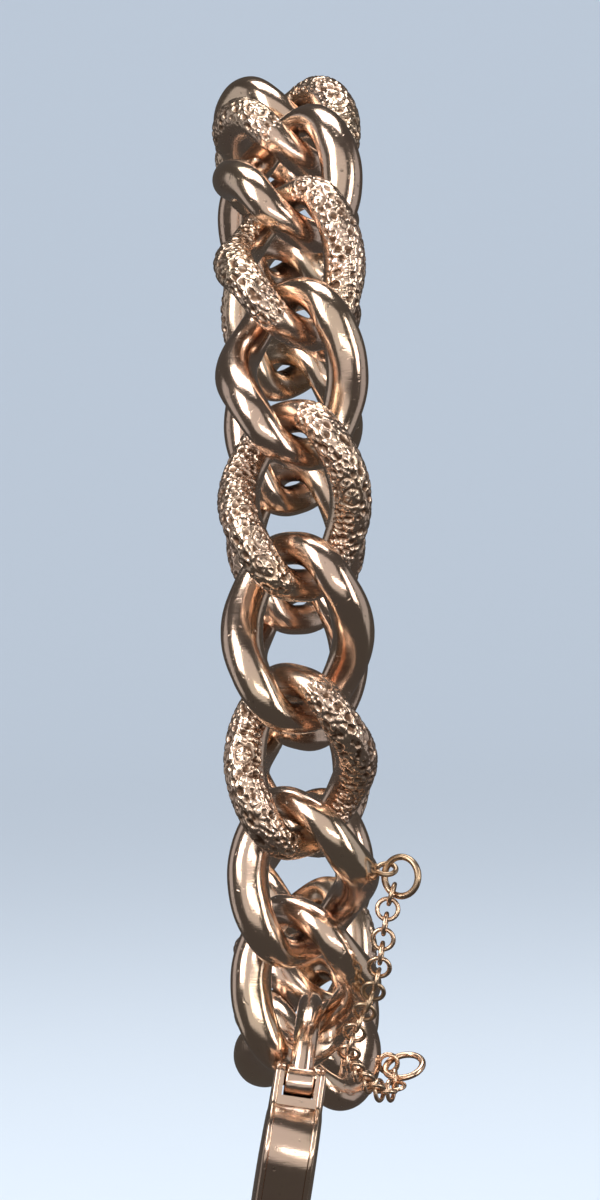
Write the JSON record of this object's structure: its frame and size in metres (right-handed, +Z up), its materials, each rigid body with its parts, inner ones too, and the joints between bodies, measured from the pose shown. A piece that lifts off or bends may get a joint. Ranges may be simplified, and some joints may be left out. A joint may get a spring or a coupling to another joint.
{
  "type": "padlock curb chain bracelet",
  "caption": "Rose gold curb chain bracelet made from a watch chain, with alternate engraved and plain links, a heart padlock and a safety chain.",
  "frame": {"origin": "centre of the opening inside the closed loop, where the wrist goes", "axes": "+Z up, away from the padlock; +X across the chain's width, the side with the safety chain; -Y the front of the loop"},
  "size_m": [0.0129, 0.0608, 0.082],
  "materials": {
    "plain_link_gold": "polished, worn",
    "engraved_link_gold": "chased all over, dark in the cuts",
    "padlock_gold": "polished",
    "safety_chain_gold": "worn, slightly tarnished",
    "leaf_spring_steel": "spring temper"
  },
  "bodies": {
    "link_10": {"link_10_plain": "plain_link_gold"},
    "link_01": {"link_01_plain": "plain_link_gold"},
    "link_02": {"link_02_plain": "plain_link_gold", "safety_loop_front": "safety_chain_gold"},
    "link_03": {"link_03_engraved": "engraved_link_gold"},
    "link_04": {"link_04_plain": "plain_link_gold"},
    "link_05": {"link_05_engraved": "engraved_link_gold"},
    "link_06": {"link_06_plain": "plain_link_gold"},
    "link_07": {"link_07_engraved": "engraved_link_gold"},
    "link_08": {"link_08_plain": "plain_link_gold"},
    "link_09": {"link_09_engraved": "engraved_link_gold"},
    "link_11": {"link_11_engraved": "engraved_link_gold"},
    "link_12": {"link_12_plain": "plain_link_gold"},
    "link_13": {"link_13_engraved": "engraved_link_gold"},
    "link_14": {"link_14_plain": "plain_link_gold"},
    "link_15": {"link_15_engraved": "engraved_link_gold"},
    "link_16": {"link_16_plain": "plain_link_gold"},
    "link_17": {"link_17_engraved": "engraved_link_gold"},
    "link_18": {"link_18_plain": "plain_link_gold"},
    "link_19": {"link_19_engraved": "engraved_link_gold"},
    "link_20": {"link_20_plain": "plain_link_gold"},
    "link_21": {"link_21_plain": "plain_link_gold", "safety_loop_back": "safety_chain_gold"},
    "shackle": {"padlock_shackle": "padlock_gold"},
    "padlock": {"padlock_band": "padlock_gold", "padlock_face_right": "padlock_gold", "padlock_face_left": "padlock_gold", "padlock_hinge_pin": "padlock_gold", "padlock_leaf_spring": "leaf_spring_steel"},
    "jump_ring_front": {"jump_ring_front": "safety_chain_gold"},
    "safety_rings_front": {"safety_ring_01": "safety_chain_gold", "safety_ring_02": "safety_chain_gold", "safety_ring_03": "safety_chain_gold", "safety_ring_04": "safety_chain_gold", "safety_ring_05": "safety_chain_gold", "safety_ring_06": "safety_chain_gold", "safety_ring_07": "safety_chain_gold", "safety_ring_08": "safety_chain_gold", "safety_ring_09": "safety_chain_gold", "safety_ring_10": "safety_chain_gold", "safety_ring_11": "safety_chain_gold", "safety_ring_12": "safety_chain_gold"},
    "safety_rings_back": {"safety_ring_13": "safety_chain_gold", "safety_ring_14": "safety_chain_gold", "safety_ring_15": "safety_chain_gold", "safety_ring_16": "safety_chain_gold", "safety_ring_17": "safety_chain_gold", "safety_ring_18": "safety_chain_gold", "safety_ring_19": "safety_chain_gold", "safety_ring_20": "safety_chain_gold", "safety_ring_21": "safety_chain_gold", "safety_ring_22": "safety_chain_gold", "safety_ring_23": "safety_chain_gold", "safety_ring_24": "safety_chain_gold", "safety_ring_25": "safety_chain_gold"},
    "jump_ring_back": {"jump_ring_back": "safety_chain_gold"}
  },
  "joints": [
    {"name": "hook_09_10", "type": "hinge", "parent": "link_10", "child": "link_09", "pos_m": [0, -0.00275, 0.03132], "axis": [1, 0, 0], "range_deg": [-4, 0]},
    {"name": "hook_08_09", "type": "hinge", "parent": "link_09", "child": "link_08", "pos_m": [0, -0.01106, 0.0291], "axis": [1, 0, 0], "range_deg": [-2.52, 0]},
    {"name": "hook_07_08", "type": "hinge", "parent": "link_08", "child": "link_07", "pos_m": [0, -0.01802, 0.02404], "axis": [1, 0, 0], "range_deg": [-0.51245, 0]},
    {"name": "hook_06_07", "type": "hinge", "parent": "link_07", "child": "link_06", "pos_m": [0, -0.02331, 0.01727], "axis": [1, 0, 0], "range_deg": [0, 1.15]},
    {"name": "hook_05_06", "type": "hinge", "parent": "link_06", "child": "link_05", "pos_m": [0, -0.02653, 0.00929], "axis": [1, 0, 0], "range_deg": [0, 2.19]},
    {"name": "hook_04_05", "type": "hinge", "parent": "link_05", "child": "link_04", "pos_m": [0, -0.02743, 0.00074], "axis": [1, 0, 0], "range_deg": [0, 2.3]},
    {"name": "hook_03_04", "type": "hinge", "parent": "link_04", "child": "link_03", "pos_m": [0, -0.02668, -0.00783], "axis": [1, 0, 0], "range_deg": [0, 1.71]},
    {"name": "hook_02_03", "type": "hinge", "parent": "link_03", "child": "link_02", "pos_m": [0, -0.02388, -0.01596], "axis": [1, 0, 0], "range_deg": [0, 0.39539]},
    {"name": "hook_01_02", "type": "hinge", "parent": "link_02", "child": "link_01", "pos_m": [0, -0.0192, -0.02317], "axis": [1, 0, 0], "range_deg": [-0.72265, 0]},
    {"name": "hook_10_11", "type": "hinge", "parent": "link_10", "child": "link_11", "pos_m": [0, 0.00584, 0.03102], "axis": [1, 0, 0], "range_deg": [0, 0.95217]},
    {"name": "hook_11_12", "type": "hinge", "parent": "link_11", "child": "link_12", "pos_m": [0, 0.01389, 0.028], "axis": [1, 0, 0], "range_deg": [0, 0.40272]},
    {"name": "hook_12_13", "type": "hinge", "parent": "link_12", "child": "link_13", "pos_m": [0, 0.02053, 0.02254], "axis": [1, 0, 0], "range_deg": [-0.72302, 0]},
    {"name": "hook_13_14", "type": "hinge", "parent": "link_13", "child": "link_14", "pos_m": [0, 0.02515, 0.01528], "axis": [1, 0, 0], "range_deg": [-1.72, 0]},
    {"name": "hook_14_15", "type": "hinge", "parent": "link_14", "child": "link_15", "pos_m": [0, 0.02743, 0.00699], "axis": [1, 0, 0], "range_deg": [-2.13, 0]},
    {"name": "hook_15_16", "type": "hinge", "parent": "link_15", "child": "link_16", "pos_m": [0, 0.02731, -0.00161], "axis": [1, 0, 0], "range_deg": [-1.82, 0]},
    {"name": "hook_16_17", "type": "hinge", "parent": "link_16", "child": "link_17", "pos_m": [0, 0.02491, -0.00987], "axis": [1, 0, 0], "range_deg": [-0.93126, 0]},
    {"name": "hook_17_18", "type": "hinge", "parent": "link_17", "child": "link_18", "pos_m": [0, 0.02054, -0.01727], "axis": [1, 0, 0], "range_deg": [0, 0.21666]},
    {"name": "hook_18_19", "type": "hinge", "parent": "link_18", "child": "link_19", "pos_m": [0, 0.01455, -0.02345], "axis": [1, 0, 0], "range_deg": [0, 1.3]},
    {"name": "hook_19_20", "type": "hinge", "parent": "link_19", "child": "link_20", "pos_m": [0, 0.00736, -0.02816], "axis": [1, 0, 0], "range_deg": [0, 2.07]},
    {"name": "hook_20_21", "type": "hinge", "parent": "link_20", "child": "link_21", "pos_m": [0, -0.00064, -0.03132], "axis": [1, 0, 0], "range_deg": [0, 2.39]},
    {"name": "front_loop_jump", "type": "hinge", "parent": "link_02", "child": "jump_ring_front", "pos_m": [0.00545, -0.02249, -0.01911], "axis": [1, 0, 0], "range_deg": [-0.20964, 0]},
    {"name": "front_jump_ring", "type": "hinge", "parent": "jump_ring_front", "child": "safety_rings_front", "pos_m": [0.00609, -0.02294, -0.02017], "axis": [1, 0, 0], "range_deg": [-0.49726, 0]},
    {"name": "ring_12_13", "type": "hinge", "parent": "safety_rings_front", "child": "safety_rings_back", "pos_m": [0.00302, -0.01795, -0.03033], "axis": [1, 0, 0], "range_deg": [0, 0.38713]},
    {"name": "back_jump_ring", "type": "hinge", "parent": "safety_rings_back", "child": "jump_ring_back", "pos_m": [0.0062, -0.0068, -0.03342], "axis": [1, 0, 0], "range_deg": [-2.1, 0]},
    {"name": "padlock_swing", "type": "hinge", "parent": "link_01", "child": "shackle", "pos_m": [0, -0.0147, -0.03037], "axis": [1, 0, 0], "range_deg": [-2, 2]},
    {"name": "padlock_opening", "type": "hinge", "parent": "shackle", "child": "padlock", "pos_m": [-0.00056, -0.01809, -0.03315], "axis": [0.9848, 0, -0.1736], "range_deg": [-60, 0]}
  ],
  "couplings": [
    {"joint": "hook_08_09", "follows": "hook_09_10", "ratio": 0.62928},
    {"joint": "hook_07_08", "follows": "hook_09_10", "ratio": 0.12811},
    {"joint": "hook_06_07", "follows": "hook_09_10", "ratio": -0.28733},
    {"joint": "hook_05_06", "follows": "hook_09_10", "ratio": -0.54853},
    {"joint": "hook_04_05", "follows": "hook_09_10", "ratio": -0.5751},
    {"joint": "hook_03_04", "follows": "hook_09_10", "ratio": -0.42824},
    {"joint": "hook_02_03", "follows": "hook_09_10", "ratio": -0.098848},
    {"joint": "hook_01_02", "follows": "hook_09_10", "ratio": 0.18066},
    {"joint": "hook_10_11", "follows": "hook_09_10", "ratio": -0.23804},
    {"joint": "hook_11_12", "follows": "hook_09_10", "ratio": -0.10068},
    {"joint": "hook_12_13", "follows": "hook_09_10", "ratio": 0.18075},
    {"joint": "hook_13_14", "follows": "hook_09_10", "ratio": 0.43086},
    {"joint": "hook_14_15", "follows": "hook_09_10", "ratio": 0.53317},
    {"joint": "hook_15_16", "follows": "hook_09_10", "ratio": 0.45435},
    {"joint": "hook_16_17", "follows": "hook_09_10", "ratio": 0.23281},
    {"joint": "hook_17_18", "follows": "hook_09_10", "ratio": -0.054165},
    {"joint": "hook_18_19", "follows": "hook_09_10", "ratio": -0.32488},
    {"joint": "hook_19_20", "follows": "hook_09_10", "ratio": -0.51695},
    {"joint": "hook_20_21", "follows": "hook_09_10", "ratio": -0.59723},
    {"joint": "front_loop_jump", "follows": "hook_09_10", "ratio": 0.052411},
    {"joint": "front_jump_ring", "follows": "hook_09_10", "ratio": 0.12431},
    {"joint": "ring_12_13", "follows": "hook_09_10", "ratio": -0.096783},
    {"joint": "back_jump_ring", "follows": "hook_09_10", "ratio": 0.52537}
  ]
}
